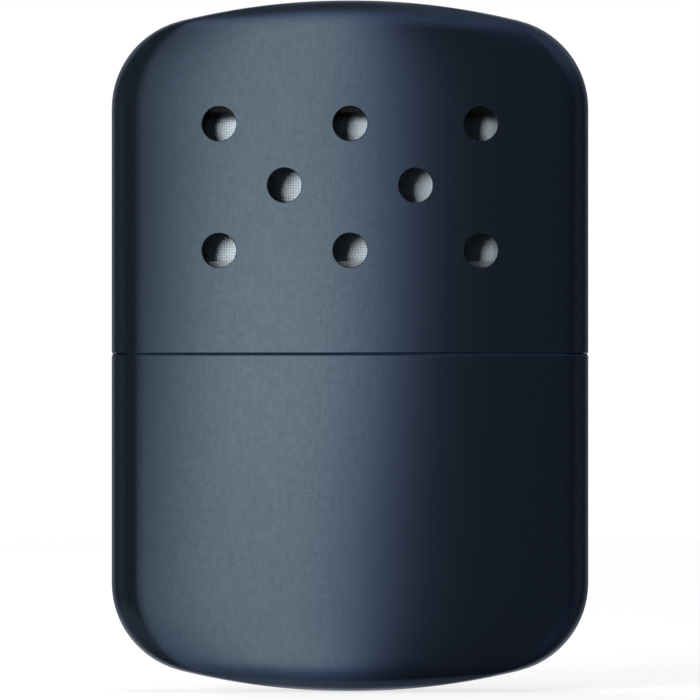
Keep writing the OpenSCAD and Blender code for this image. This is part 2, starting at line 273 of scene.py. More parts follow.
def half_width(case, depth, inset):
    """Half width of the front outline, at a depth below the tip of an end"""
    dome, corner = case.dome_radius - inset, case.corner_radius - inset
    half = case.width / 2 - inset
    straight = end_length(case, inset)
    dome_end = dome - dome * (dome - straight) / (dome - corner)
    if depth >= straight:
        return half
    if depth <= dome_end:
        return math.sqrt(2 * dome * depth - depth * depth)
    return half - corner + math.sqrt(corner ** 2 - (straight - depth) ** 2)


def half_thickness(case, depth, inset):
    """Half thickness at a depth below the tip of an end"""
    half, nose = case.thickness / 2 - inset, case.nose_length - inset
    if depth >= nose:
        return half
    power = case.nose_power
    return half * (1 - (1 - depth / nose) ** power) ** (1 / power)


def case_ring(case, z, inset, like=None):
    """Section of the case, inset from its outside, at height z. It may be given the form that
    the case has at another height"""
    level = z if like is None else like
    depth = max(0.0, min(level - inset, case.height - inset - level))
    a, b = case.width / 2 - inset, case.thickness / 2 - inset
    wide = half_width(case, depth, inset) / a
    thick = half_thickness(case, depth, inset) / b
    section = oval(a, b, case.side_radius - inset)
    return [(x * wide, y * thick, z) for x, y in section]


def wall_rings(case, outline):
    """Sections of the case's straight wall, one for each (inset, height) of an outline"""
    return [case_ring(case, z, inset, case.height / 2) for inset, z in outline]


def neck_half(tank):
    """Half width, half thickness and side radius of the neck"""
    corner = high("filler_neck")
    return corner.x - tank.flange_width, corner.y - tank.flange_width, tank.neck_side_radius


def neck_ring(tank, offset, z):
    """Section of the neck, moved outwards, at height z"""
    return [(x, y, z) for x, y in oval(*(size + offset for size in neck_half(tank)))]


def neck_rings(tank, outline):
    """Sections of the neck, one for each (offset, height) of an outline"""
    return [neck_ring(tank, offset, z) for offset, z in outline]


def neck_offset(tank, node):
    """How far a node's outside lies outside the neck"""
    return high(node).x - neck_half(tank)[0]


def rounded(corners, closed=True):
    """The outline through corners (offset, height, radius), each rounded to its radius, with a
    point held close to each end of an arc, so that the flats beside it shade flat"""
    outline = []
    count = len(corners)
    for i, (s, z, radius) in enumerate(corners):
        here = Vector((s, z))
        if radius <= 0 or (not closed and i in (0, count - 1)):
            outline.append((s, z))
            continue
        back = Vector(corners[i - 1][:2]) - here
        ahead = Vector(corners[(i + 1) % count][:2]) - here
        u, v = back.normalized(), ahead.normalized()
        half = u.angle(v) / 2
        reach = radius / math.tan(half)
        hold = 0.3 * radius
        centre = here + (u + v).normalized() * radius / math.sin(half)
        start, end = here + u * reach, here + v * reach
        if back.length > reach + 2 * hold:
            outline.append(tuple(start + u * hold))
        first, last = start - centre, end - centre
        turn = first.angle(last)
        for k in range(EDGE_STEPS + 1):
            w = k / EDGE_STEPS
            arm = (first * math.sin((1 - w) * turn) + last * math.sin(w * turn)) / math.sin(turn)
            outline.append(tuple(centre + arm))
        if ahead.length > reach + 2 * hold:
            outline.append(tuple(end + v * hold))
    return outline


def scaled_ring(ring, factor, z):
    return [(x * factor, y * factor, z) for x, y, _ in ring]


# ---------------------------------------------------------------- mesh code

def add_object(name, data):
    made = bpy.data.objects.new(name, data)
    bpy.context.scene.collection.objects.link(made)
    return made


def smooth_object(name, points, faces, uvs=None):
    """A smooth-shaded mesh object. uvs has one pair for each corner of each face"""
    mesh = bpy.data.meshes.new(name)
    mesh.from_pydata(points, [], faces)
    if uvs:
        layer = mesh.uv_layers.new(name="wrap")
        layer.data.foreach_set("uv", [value for pair in uvs for value in pair])
    mesh.shade_smooth()
    mesh.update()
    return add_object(name, mesh)


def skin(name, rings, closed=False):
    """Joins rings of equally many points into one skin. The rings run up an outside and down an
    inside. An open skin ends in a pole at each end. Its map wraps round it, in metres"""
    across, count = len(rings[0]), len(rings)
    points = [point for ring in rings for point in ring]
    widest = max(rings, key=lambda ring: max(point[0] for point in ring))
    around = [0.0]
    for i in range(across):
        step = Vector(widest[(i + 1) % across]) - Vector(widest[i])
        around.append(around[-1] + step.length)
    middle = FACE_STEPS // 2
    along = [0.0]
    for k in range(count):
        step = Vector(rings[(k + 1) % count][middle]) - Vector(rings[k][middle])
        along.append(along[-1] + step.length)
    faces, uvs = [], []
    for k in range(count if closed else count - 1):
        lower, upper = k * across, ((k + 1) % count) * across
        for i in range(across):
            j = (i + 1) % across
            faces.append((lower + i, upper + i, upper + j, lower + j))
            uvs += [
                (around[i], along[k]), (around[i], along[k + 1]),
                (around[i + 1], along[k + 1]), (around[i + 1], along[k]),
            ]
    if not closed:
        for ring, edge, turn in ((0, 0, 1), (count - 1, (count - 1) * across, -1)):
            pole = len(points)
            points.append(tuple(sum((Vector(p) for p in rings[ring]), Vector()) / across))
            for i in range(across):
                j = (i + 1) % across
                faces.append((edge + i, edge + j, pole)[::turn])
                uvs += [(around[i], along[ring])] * 3
    return smooth_object(name, points, faces, uvs)


def lathe(name, outline, steps, shift=0.0):
    """Turns an outline of (radius, height) points, from the axis and back to it, round Z. It
    starts that share of a step away from the X axis"""
    points, faces = [], []
    for radius, z in outline[1:-1]:
        for i in range(steps):
            t = 2 * math.pi * (i + shift) / steps
            points.append((radius * math.cos(t), radius * math.sin(t), z))
    rows = len(outline) - 2
    for k in range(rows - 1):
        for i in range(steps):
            j = (i + 1) % steps
            faces.append((k * steps + i, k * steps + j, (k + 1) * steps + j, (k + 1) * steps + i))
    points += [(0, 0, outline[0][1]), (0, 0, outline[-1][1])]
    start, end = len(points) - 2, len(points) - 1
    for i in range(steps):
        j = (i + 1) % steps
        faces.append((start, j, i))
        faces.append(((rows - 1) * steps + i, (rows - 1) * steps + j, end))
    return smooth_object(name, points, faces)


def slot_prism(name, width, bottom, top, corner, depth):
    """A block along Y with rounded corners, centred on x = 0"""
    half, steps = width / 2, EDGE_STEPS * 2
    centres = [
        (half - corner, top - corner), (corner - half, top - corner),
        (corner - half, bottom + corner), (half - corner, bottom + corner),
    ]
    rim = []
    for quarter, (x, z) in enumerate(centres):
        for k in range(steps + 1):
            t = math.pi / 2 * (quarter + k / steps)
            rim.append((x + corner * math.cos(t), z + corner * math.sin(t)))
    count = len(rim)
    points = [(x, y, z) for y in (-depth / 2, depth / 2) for x, z in rim]
    faces = [tuple(range(count)), tuple(range(2 * count - 1, count - 1, -1))]
    for i in range(count):
        j = (i + 1) % count
        faces.append((j, i, count + i, count + j))
    return smooth_object(name, points, faces)


def sag(piece, amount, size, seed):
    """Presses the surface of a soft piece inwards by up to amount, in soft dents of that size"""
    mesh = piece.data
    offset = Vector((seed * 3.1, seed * 7.7, seed * 1.3))
    normals = [vertex.normal.copy() for vertex in mesh.vertices]
    for vertex, normal in zip(mesh.vertices, normals):
        place = vertex.co / size + offset
        coarse = noise.noise(place)
        fine = noise.noise(place * 3.1) * 0.4
        dent = min(1.0, max(0.0, 0.5 + coarse + fine))
        vertex.co -= normal * amount * dent
    mesh.update()


# ---------------------------------------------------------------- node trees

def is_socket(value):
    return isinstance(value, bpy.types.NodeSocket)


def feed(node, inputs):
    """Gives a node its inputs, as values or as links from other nodes' sockets"""
    for key, value in inputs.items():
        socket = node.inputs[key]
        if is_socket(value):
            node.id_data.links.new(value, socket)
        else:
            socket.default_value = value


def put(tree, kind, inputs=None, **options):
    """Adds a node"""
    made = tree.nodes.new(kind)
    for key, value in options.items():
        setattr(made, key, value)
    feed(made, inputs or {})
    return made


def result(tree, kind, inputs=None, **options):
    """The first output of a new node"""
    return put(tree, kind, inputs, **options).outputs[0]


def calc(operation, *values, kind="ShaderNodeMath", **options):
    """One step of arithmetic, in the tree of the first socket among its values"""
    tree = next(value for value in values if is_socket(value)).id_data
    return result(tree, kind, dict(enumerate(values)), operation=operation, **options)


def vector_calc(operation, *values):
    return calc(operation, *values, kind="ShaderNodeVectorMath")


def times(first, *others):
    for other in others:
        first = calc("MULTIPLY", first, other)
    return first


def plus(first, *others):
    for other in others:
        first = calc("ADD", first, other)
    return first


def minus(first, second):
    return calc("SUBTRACT", first, second)


def most(first, second):
    return calc("MAXIMUM", first, second)


def size_of(value):
    return calc("ABSOLUTE", value)


def combined(tree, **parts):
    return result(tree, "ShaderNodeCombineXYZ", parts)


def separated(vector):
    return put(vector.id_data, "ShaderNodeSeparateXYZ", {"Vector": vector}).outputs


def new_tree(name, kind, inputs, outputs):
    """A node group with its two end nodes. An input is given by its default number, or else by
    the kind of its socket"""
    tree = bpy.data.node_groups.new(name, kind)
    for label, given in inputs.items():
        named = isinstance(given, str)
        socket = given if named else "Int" if isinstance(given, int) else "Float"
        made = tree.interface.new_socket(
            name=label, in_out="INPUT", socket_type="NodeSocket" + socket)
        if not named:
            made.default_value = given
    for label, socket in outputs.items():
        tree.interface.new_socket(name=label, in_out="OUTPUT", socket_type="NodeSocket" + socket)
    start = tree.nodes.new("NodeGroupInput")
    return tree, start.outputs, tree.nodes.new("NodeGroupOutput")


def shape_tree(name, inputs):
    return new_tree(
        name, "GeometryNodeTree", {"Geometry": "Geometry", **inputs, "Material": "Material"},
        {"Geometry": "Geometry"})


def run_tree(piece, tree, values):
    """Adds the tree as a modifier, with its inputs set by their sockets' identifiers"""
    modifier = piece.modifiers.new(tree.name, "NODES")
    modifier.node_group = tree
    for item in tree.interface.items_tree:
        if item.in_out == "INPUT" and item.name in values:
            modifier[item.identifier] = values[item.name]


def make_plain(piece, *tools):
    """Turns what the modifiers make into the piece's own mesh, and removes them and the tools"""
    graph = bpy.context.evaluated_depsgraph_get()
    mesh = bpy.data.meshes.new_from_object(piece.evaluated_get(graph), depsgraph=graph)
    if not mesh.polygons:
        raise RuntimeError(f"{piece.name}: its nodes made no faces")
    piece.modifiers.clear()
    piece.data = mesh
    mesh.name = piece.name
    for tool in tools:
        bpy.data.objects.remove(tool)


def shape_of(thing):
    return put(thing.id_data, "GeometryNodeObjectInfo", {"Object": thing}).outputs["Geometry"]


def realized(geometry):
    return result(geometry.id_data, "GeometryNodeRealizeInstances", {"Geometry": geometry})


def on_both_faces(tree, points, surface, instance, reach):
    """Places an instance where lines along Y through the points meet the front and the back of
    the surface, standing along the surface's normal"""
    joined = put(tree, "GeometryNodeJoinGeometry")
    for side in (-1, 1):
        place = result(tree, "GeometryNodeInputPosition")
        ray = put(tree, "GeometryNodeRaycast", {
            "Target Geometry": surface, "Ray Direction": (0, -side, 0), "Ray Length": 1.0,
            "Source Position": vector_calc("ADD", place, combined(tree, Y=times(reach, side))),
        })
        placed = result(tree, "GeometryNodeSetPosition", {
            "Geometry": points, "Position": ray.outputs["Hit Position"]})
        nearest = put(tree, "GeometryNodeSampleNearestSurface", {
            "Mesh": surface, "Value": result(tree, "GeometryNodeInputNormal"),
        }, data_type="FLOAT_VECTOR")
        turn = result(tree, "FunctionNodeAlignRotationToVector", {
            "Vector": nearest.outputs["Value"]}, axis="Z")
        feed(joined, {0: result(tree, "GeometryNodeInstanceOnPoints", {
            "Points": placed, "Instance": instance, "Rotation": turn})})
    return realized(joined.outputs[0])


def row_of_points(tree, count, pitch, height):
    """Points along X, centred, at that height"""
    gaps = result(tree, "ShaderNodeMath", {0: count, 1: 1.0}, operation="SUBTRACT")
    return result(tree, "GeometryNodeMeshLine", {
        "Count": count, "Offset": combined(tree, X=pitch),
        "Start Location": combined(tree, X=times(gaps, pitch, -0.5), Z=height),
    }, mode="OFFSET")


def finish_tree(start, end, geometry):
    """Shades all smooth but the cut edges, joins the parts and sets their material"""
    tree = geometry.id_data
    smooth = result(tree, "GeometryNodeSetShadeSmooth", {"Geometry": geometry})
    fold = put(tree, "GeometryNodeInputMeshEdgeAngle").outputs["Unsigned Angle"]
    creased = result(tree, "GeometryNodeSetShadeSmooth", {
        "Geometry": smooth, "Shade Smooth": False,
        "Selection": calc("GREATER_THAN", fold, CREASE),
    }, domain="EDGE")
    feed(end, {"Geometry": result(tree, "GeometryNodeSetMaterial", {
        "Geometry": realized(creased), "Material": start["Material"]})})
    return tree


def cut(geometry, punches):
    return put(geometry.id_data, "GeometryNodeMeshBoolean", {
        "Mesh 1": geometry, "Mesh 2": punches,
    }, operation="DIFFERENCE", solver="MANIFOLD").outputs["Mesh"]


def vent_tree():
    """Punches three rows of vents, three, two and three, through both broad faces of a shell"""
    tree, start, end = shape_tree("Vent rows", {
        "Punch": "Object", "Pitch": 18.3 * MM, "Top": 0.08, "Middle": 0.07, "Bottom": 0.06,
        "Reach": 0.05})
    rows = put(tree, "GeometryNodeJoinGeometry")
    for count, height in ((3, "Top"), (2, "Middle"), (3, "Bottom")):
        feed(rows, {0: row_of_points(tree, count, start["Pitch"], start[height])})
    punches = on_both_faces(
        tree, rows.outputs[0], start["Geometry"], shape_of(start["Punch"]), start["Reach"])
    return finish_tree(start, end, cut(start["Geometry"], punches))


def punched_tree():
    """Punches one centred row of equal holes, straight through a sheet"""
    tree, start, end = shape_tree("Punched row", {
        "Punch": "Object", "Count": 3, "Pitch": 4 * MM, "Height": 0.0})
    row = row_of_points(tree, start["Count"], start["Pitch"], start["Height"])
    punches = realized(result(tree, "GeometryNodeInstanceOnPoints", {
        "Points": row, "Instance": shape_of(start["Punch"])}))
    return finish_tree(start, end, cut(start["Geometry"], punches))


def rivet_tree():
    """Sets a rivet at both ends of a row, on both broad faces of a sleeve"""
    tree, start, end = shape_tree("Rivets", {
        "Rivet": "Object", "Pitch": 0.03, "Height": 0.06, "Reach": 0.05})
    points = row_of_points(tree, 2, start["Pitch"], start["Height"])
    return finish_tree(start, end, on_both_faces(
        tree, points, start["Geometry"], shape_of(start["Rivet"]), start["Reach"]))


def gauze_tree():
    """Weaves round wires along the edges of a lattice. Its points hold lift, which is 1 where
    the warp passes over and -1 where it passes under, and out, the way out of the gauze"""
    tree, start, end = shape_tree("Woven gauze", {"Wire": 0.1 * MM})
    radius = times(start["Wire"], 0.5)
    profile = result(tree, "GeometryNodeCurvePrimitiveCircle", {"Resolution": 6, "Radius": radius})
    lift, out, warp = (
        result(tree, "GeometryNodeInputNamedAttribute", {"Name": name}, data_type=kind)
        for name, kind in (("lift", "FLOAT"), ("out", "FLOAT_VECTOR"), ("warp", "BOOLEAN"))
    )
    weft = result(tree, "FunctionNodeBooleanMath", {0: warp}, operation="NOT")
    wires = put(tree, "GeometryNodeJoinGeometry")
    for chosen, way in ((warp, 1), (weft, -1)):
        line = result(tree, "GeometryNodeMeshToCurve", {
            "Mesh": start["Geometry"], "Selection": chosen})
        height = times(lift, radius, way)
        moved = result(tree, "GeometryNodeSetPosition", {
            "Geometry": line,
            "Offset": vector_calc("MULTIPLY", out, combined(tree, X=height, Y=height, Z=height))})
        bent = result(
            tree, "GeometryNodeCurveSplineType", {"Curve": moved}, spline_type="CATMULL_ROM")
        finer = result(tree, "GeometryNodeSetSplineResolution", {"Geometry": bent, "Resolution": 3})
        feed(wires, {0: result(tree, "GeometryNodeCurveToMesh", {
            "Curve": finer, "Profile Curve": profile, "Fill Caps": True})})
    return finish_tree(start, end, wires.outputs[0])


# ---------------------------------------------------------------- finishes

def fit(value, low_in, high_in, low_out=0.0, high_out=1.0, **options):
    """Maps a range of a value to another one, and clamps it"""
    return result(value.id_data, "ShaderNodeMapRange", {
        "Value": value, "From Min": low_in, "From Max": high_in,
        "To Min": low_out, "To Max": high_out,
    }, **options)


def speckle(vector, scale, detail=2.0, roughness=0.5):
    return put(vector.id_data, "ShaderNodeTexNoise", {
        "Vector": vector, "Scale": scale, "Detail": detail, "Roughness": roughness,
    }).outputs["Fac"]


def stretched(vector, x, y, z):
    return result(vector.id_data, "ShaderNodeMapping", {"Vector": vector, "Scale": (x, y, z)})


def between(mask, first, second):
    """A value between two others, by a mask"""
    return result(mask.id_data, "ShaderNodeMix", {"Factor": mask, "A": first, "B": second})


def tint(mask, *pair):
    """A colour between two colours, by a mask"""
    first, second = (value if is_socket(value) else (*value, 1) for value in pair)
    return put(mask.id_data, "ShaderNodeMix", {
        "Factor": mask, "A": first, "B": second}, data_type="RGBA").outputs["Result"]


def effect(name, inputs, outputs):
    """The tree of a shared effect, and the scale at which its first size is one step"""
    _, start, end = new_tree(
        name, "ShaderNodeTree", {"Vector": "Vector", **inputs}, dict.fromkeys(outputs, "Float"))
    return start, end, start["Vector"], calc("DIVIDE", 1.0, start[next(iter(inputs))])


def grain_effect():
    """Fine grain of a sprayed metallic coat: soft mottle, small flakes and faint upright streaks"""
    start, end, place, scale = effect(
        "Sprayed grain", {"Grain": 0.22 * MM, "Streak": 0.2}, ("Mask", "Height"))
    flakes = speckle(place, scale, 3.0, 0.6)
    mottle = speckle(place, times(scale, 0.22))
    streaks = speckle(stretched(place, 1.0, 1.0, 0.09), times(scale, 0.8))
    grain = plus(times(flakes, 0.6), times(mottle, 0.4))
    feed(end, {
        "Mask": fit(between(start["Streak"], grain, streaks), 0.36, 0.64), "Height": grain})


def brushed_effect():
    """Long fine lines along the first axis of the given map"""
    _, end, place, scale = effect("Brushed lines", {"Line": 0.06 * MM}, ("Mask", "Smudge"))
    lines = speckle(stretched(place, 0.012, 1.0, 1.0), scale, 3.0, 0.7)
    smudge = speckle(place, times(scale, 0.02))
    feed(end, {"Mask": fit(lines, 0.3, 0.7), "Smudge": fit(smudge, 0.35, 0.65)})


def weave_effect():
    """A plain weave of round yarns on the given map, in metres, with a mask of the shade painted in
    the gaps between the yarns
    """
    _, start, end = new_tree(
        "Plain weave", "ShaderNodeTree", {"Vector": "Vector", "Pitch": 0.5 * MM},
        {"Height": "Float", "Gap": "Float"})
    turns = calc("DIVIDE", math.pi, start["Pitch"])
    parts = separated(start["Vector"])
    u, v = (calc("SINE", times(parts[axis], turns)) for axis in "XY")
    warp, weft = size_of(u), size_of(v)
    height = between(fit(times(u, v), -0.25, 0.25), warp, weft)
    strands = speckle(stretched(start["Vector"], 1.0, 0.12, 1.0), 26000.0)
    # The mask of painted shade: highest where neither yarn covers the cloth
    gap = times(calc("SUBTRACT", 1.0, warp), calc("SUBTRACT", 1.0, weft))
    feed(end, {
        "Height": plus(times(height, 0.75), times(strands, 0.25)), "Gap": fit(gap, 0.05, 0.45)})


def fibre_effect():
    """Matted fibres that cross at random, laid in the XY plane more than upright"""
    _, end, place, scale = effect("Matted fibres", {"Fibre": 0.12 * MM}, ("Height", "Mask"))
    layers = [
        speckle(stretched(place, *way), scale, 3.0, 0.65)
        for way in ((1.0, 0.18, 0.5), (0.18, 1.0, 0.5), (0.5, 0.3, 0.22))
    ]
    clumps = speckle(place, times(scale, 0.08))
    feed(end, {
        "Height": most(most(layers[0], layers[1]), layers[2]), "Mask": fit(clumps, 0.35, 0.65)})


def new_material(name, shared, place="Object", **inputs):
    """A material with one shared effect, on Object coordinates or on the piece's own map. Gives
    its shader, its Object coordinates and what the effect puts out"""
    material = bpy.data.materials.new(name)
    material.use_nodes = True
    tree = material.node_tree
    places = put(tree, "ShaderNodeTexCoord").outputs
    made = put(tree, "ShaderNodeGroup", {"Vector": places[place], **inputs},
               node_tree=bpy.data.node_groups[shared])
    return tree.nodes["Principled BSDF"], places["Object"], made.outputs


def relief(height, distance, strength):
    """The normal of a surface with that relief"""
    return result(height.id_data, "ShaderNodeBump", {
        "Height": height, "Distance": distance, "Strength": strength})


def dimmed(tone, factor):
    return tuple(channel * factor for channel in tone)


def paint_material(finishes):
    """Satin metallic slate paint over the drawn case"""
    shader, _, grain = new_material("slate_paint", "Sprayed grain")
    feed(shader, {
        "Base Color": tint(grain["Mask"], finishes.paint_shade, finishes.paint),
        "Roughness": fit(grain["Mask"], 0.0, 1.0, 0.21, 0.17), "Metallic": 0.97,
        "Normal": relief(grain["Height"], 0.006 * MM, 0.6),
    })


def plate_material(finishes, case, tank):
    """Nickel plate with fine draw lines, faint smudges, and a dark band painted as shade at the
    joint under the lid's rim
    """
    shader, place, lines = new_material("nickel_plate", "Brushed lines", "UV")
    shade = tint(lines["Smudge"], dimmed(finishes.plate, 0.94), finishes.plate)
    # Painted shade: the plate darkens in a band round the joint, where the groove between the two
    # rims lies in shade
    joint = case.base_rim + tank.bead_height / 2
    away = size_of(minus(separated(place)["Z"], joint))
    seam_shade_mask = fit(away, tank.bead_height * 0.7, tank.bead_height * 1.3, 1.0, 0.0)
    polished = fit(lines["Smudge"], 0.0, 1.0, 0.22, 0.19)
    feed(shader, {
        "Base Color": tint(seam_shade_mask, shade, finishes.painted_seam_shade),
        "Roughness": most(polished, times(seam_shade_mask, 0.6)), "Metallic": 1.0,
        "Normal": relief(lines["Mask"], 0.0015 * MM, 0.5),
    })


def steel_material(finishes):
    """Brushed stainless steel of the burner, darkened almost to black towards its top: partly a real
    tint where the burner runs hottest, partly painted shade so that the cap shows dark through the
    vents
    """
    shader, place, lines = new_material(
        "burner_brushed_steel", "Brushed lines", "UV", Line=0.05 * MM)
    shade = tint(lines["Mask"], dimmed(finishes.steel, 0.82), finishes.steel)
    patches = speckle(place, 180.0, 3.0)
    # Painted shade, partly a real tint where the burner runs hottest: the steel darkens almost to
    # black towards the cap, with a ragged edge
    level = plus(separated(place)["Z"], times(patches, 6 * MM))
    top = low("burner_cap").z
    feed(shader, {
        "Base Color": tint(fit(level, top - 3 * MM, top + 2 * MM), shade, finishes.heat_tint_and_shade),
        "Roughness": fit(lines["Mask"], 0.0, 1.0, 0.46, 0.34),
        "Metallic": fit(patches, 0.3, 0.7, 0.62, 0.48),
        "Normal": relief(lines["Mask"], 0.004 * MM, 0.6),
    })


def wire_material(finishes):
    """Drawn steel wire, with a grain along Object coordinates because wires have no map"""
    shader, _, grain = new_material(
        "gauze_wire_steel", "Sprayed grain", Grain=0.05 * MM, Streak=0.1)
    feed(shader, {
        "Base Color": tint(grain["Mask"], dimmed(finishes.steel, 0.75), finishes.steel),
        "Roughness": 0.34, "Metallic": 1.0,
        "Normal": relief(grain["Height"], 0.002 * MM, 0.5),
    })


def cloth_material(finishes, burner):
    """Coated glass-fibre cloth with round yarns, with shade painted dark along its top under the
    cap's edge and in the gaps between its yarns
    """
    shader, place, weave = new_material("glass_cloth", "Plain weave", "UV", Pitch=burner.yarn)
    # Painted shade: the gaps between the yarns are painted half as dark
    shade = tint(weave["Gap"], finishes.glass, dimmed(finishes.glass, 0.5))
    # Painted shade: the cloth darkens along its top, just under the cap's edge
    level = plus(separated(place)["Z"], times(speckle(place, 500.0, 3.0), 1 * MM))
    top = low("burner_cap").z
    feed(shader, {
        "Base Color": tint(fit(level, top - 1.3 * MM, top - 0.3 * MM), shade, finishes.painted_top_shade),
        "Roughness": 0.75, "Sheen Weight": 0.25, "Sheen Roughness": 0.4,
        "Normal": relief(weave["Height"], 0.11 * MM, 0.9),
    })


def fibre_material(name, tone, fibre, depth):
    """Cotton, felt or wool: matted fibres of one tone"""
    shader, _, mat = new_material(name, "Matted fibres", Fibre=fibre)
    feed(shader, {
        "Base Color": tint(mat["Mask"], dimmed(tone, 0.86), tone),
        "Roughness": 0.9, "Sheen Weight": 0.3, "Sheen Roughness": 0.5,
        "Normal": relief(mat["Height"], depth, 0.9),
    })


# ---------------------------------------------------------------- the pieces

def finish(name):
    """A finish by its name, from those that the first operator made"""
    return bpy.data.materials[name]


def coat(piece, material):
    piece.data.materials.append(material)


def hand_over(piece, body, node):
    """Gives a finished piece to the body it moves with, in the place of its plain node"""
    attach(piece, body)
    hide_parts(node)


def add_sheet(name, rings, coating, body, node, closed=True):
    """A piece of drawn sheet metal, from its rings"""
    piece = skin(name, rings, closed)
    coat(piece, finish(coating))
    hand_over(piece, body, node)


def pad_rings(section, bottom, top, edge, crown, across, upright):
    """Rings of a soft layer: a bottom, a rounded side and a crowned top. section(z) gives its
    ring at a height, edge is the radius of its edges and crown how far its faces dish"""
    half = max(y for _, y, _ in section((bottom + top) / 2))

    def shrink(inset):
        return max(0.0, 1 - inset / half)

    def face(level, dish, order):
        """Rings over the bottom or the top"""
        factors = [shrink(edge) * i / across for i in order]
        return [scaled_ring(section(level), f, level + dish * (1 - f ** 2)) for f in factors]

    corner = arc(EDGE_STEPS + 2)
    side = [(bottom + edge * (1 - math.cos(t)), edge * (1 - math.sin(t))) for t in corner]
    side += [
        (bottom + edge + (top - bottom - 2 * edge) * i / upright, 0) for i in range(1, upright)]
    side += [(top - edge * (1 - math.sin(t)), edge * (1 - math.cos(t))) for t in corner]
    return (face(bottom, crown, range(1, across))
            + [scaled_ring(section(z), shrink(inset), z) for z, inset in side]
            + face(top, -crown, range(across - 1, 0, -1)))


def add_pad(name, node, section, edge, crown, dents, coating, body, grid=(7, 6)):
    """A soft layer in the place of a node. Its dents are given as (depth, size, seed), and its
    grid as the rings over a face and up its side"""
    piece = skin(name, pad_rings(section, *levels(node), edge, crown, *grid))
    for dent in dents:
        sag(piece, *dent)
    coat(piece, finish(coating))
    hand_over(piece, body, node)


class WARMER_OT_finishes(bpy.types.Operator):
    """Makes the shared effects and every finish"""
    bl_idname = "warmer.finishes"
    bl_label = "Finishes"

    def execute(self, context):
        finishes, case, tank, burner = settings(context, "finishes", "case", "tank", "burner")
        grain_effect()
        brushed_effect()
        weave_effect()
        fibre_effect()
        paint_material(finishes)
        plate_material(finishes, case, tank)
        steel_material(finishes)
        wire_material(finishes)
        cloth_material(finishes, burner)
        fibre_material("cotton_wadding", finishes.cotton, 0.16 * MM, 0.12 * MM)
        fibre_material("pressed_felt", finishes.felt, 0.1 * MM, 0.06 * MM)
        fibre_material("glass_wool", finishes.wool, 0.12 * MM, 0.1 * MM)
        return {"FINISHED"}


def shell_rings(case, rim, inset):
    """Rings of a shell whose tip is at z = 0, from the tip up its straight wall"""
    end, top = end_length(case, inset), rim - inset
    nose = [end * (i / NOSE_RINGS) ** NOSE_EASE for i in range(1, NOSE_RINGS + 1)]
    rows = max(1, round((top - end) / WALL_RING))
    wall = [end + (top - end) * i / rows for i in range(1, rows)]
    return [case_ring(case, depth + inset, inset) for depth in nose + wall]


def whole_shell(case, rim):
    """A drawn shell's rings: its outside from the tip to the rim, the rounded rim, its inside"""
    hem = rounded([
        (0, rim - 2 * case.rim_round, 0), (0, rim, case.rim_round),
        (case.wall, rim, case.rim_round), (case.wall, rim - 2 * case.rim_round, 0),
    ], closed=False)
    return (shell_rings(case, rim, 0) + wall_rings(case, hem)
            + shell_rings(case, rim, case.wall)[::-1])


class WARMER_OT_base(bpy.types.Operator):
    """Draws the case of the tank, below the joint line"""
    bl_idname = "warmer.base"
    bl_label = "Base"

    def execute(self, context):
        case, = settings(context, "case")
        add_sheet("painted_base", whole_shell(case, case.base_rim), "slate_paint",
                  "tank", "base_shell", closed=False)
        return {"FINISHED"}


class WARMER_OT_lid(bpy.types.Operator):
    """Draws the lid and punches its vents"""
    bl_idname = "warmer.lid"
    bl_label = "Lid"

    def execute(self, context):
        case, vents = settings(context, "case", "vents")
        rings = whole_shell(case, case.height - case.lid_rim)[::-1]
        piece = skin("vented_lid", [[(x, y, case.height - z) for x, y, z in r] for r in rings])
        hole, lip, far = vents.diameter / 2, vents.lip, 2 * MM
        slope = math.radians(58)
        drop = lip * (1 - math.sin(slope))
        flare = [
            (hole + lip * (1 - math.cos(t)), lip * (math.sin(t) - 1) + drop)
            for t in arc(EDGE_STEPS, slope)
        ]
        wide = flare[-1][0] + lip * math.sin(slope)
        punch = lathe("vent_punch", [
            (0, -far), (hole, -far), *flare, (wide, lip * math.cos(slope)), (wide, far), (0, far),
        ], VENT_STEPS)
        run_tree(piece, vent_tree(), {
            "Punch": punch, "Pitch": vents.pitch, "Top": case.height - vents.top_row,
            "Middle": case.height - vents.middle_row, "Bottom": case.height - vents.bottom_row,
            "Reach": case.thickness, "Material": finish("slate_paint"),
        })
        make_plain(piece, punch)
        hand_over(piece, "lid", "lid_shell")
        return {"FINISHED"}


class WARMER_OT_collar(bpy.types.Operator):
    """Draws the bright collar: its wall, its stop bead and its shoulder"""
    bl_idname = "warmer.collar"
    bl_label = "Collar"

    def execute(self, context):
        case, tank = settings(context, "case", "tank")
        outside = case.wall + tank.slide_gap
        inside = outside + tank.collar_wall
        bottom, top = levels("tank_collar")
        under = top - tank.collar_wall
        bead, bead_top = outside - tank.bead_out, case.base_rim + tank.bead_height
        small, fillet, mouth = 0.08 * MM, 0.04 * MM, 0.05 * MM
        shoulder = outside + 2.4 * MM
        outer = rounded([
            (inside, bottom, small), (outside, bottom, small), (outside, case.base_rim, fillet),
            (bead, case.base_rim, small), (bead, bead_top, small), (outside, bead_top, fillet),
            (outside, top, tank.shoulder_radius), (shoulder, top, 0),
        ], closed=False)
        inner = rounded([
            (shoulder, under, 0), (inside, under, tank.shoulder_radius - tank.collar_wall),
            (inside, bottom + small, 0),
        ], closed=False)
        hole = [(mouth + small, top), (mouth, top - small), (mouth, under)]
        rings = wall_rings(case, outer[1:]) + neck_rings(tank, hole) + wall_rings(case, inner)
        add_sheet("plated_collar", rings, "nickel_plate", "tank", "tank_collar")
        return {"FINISHED"}


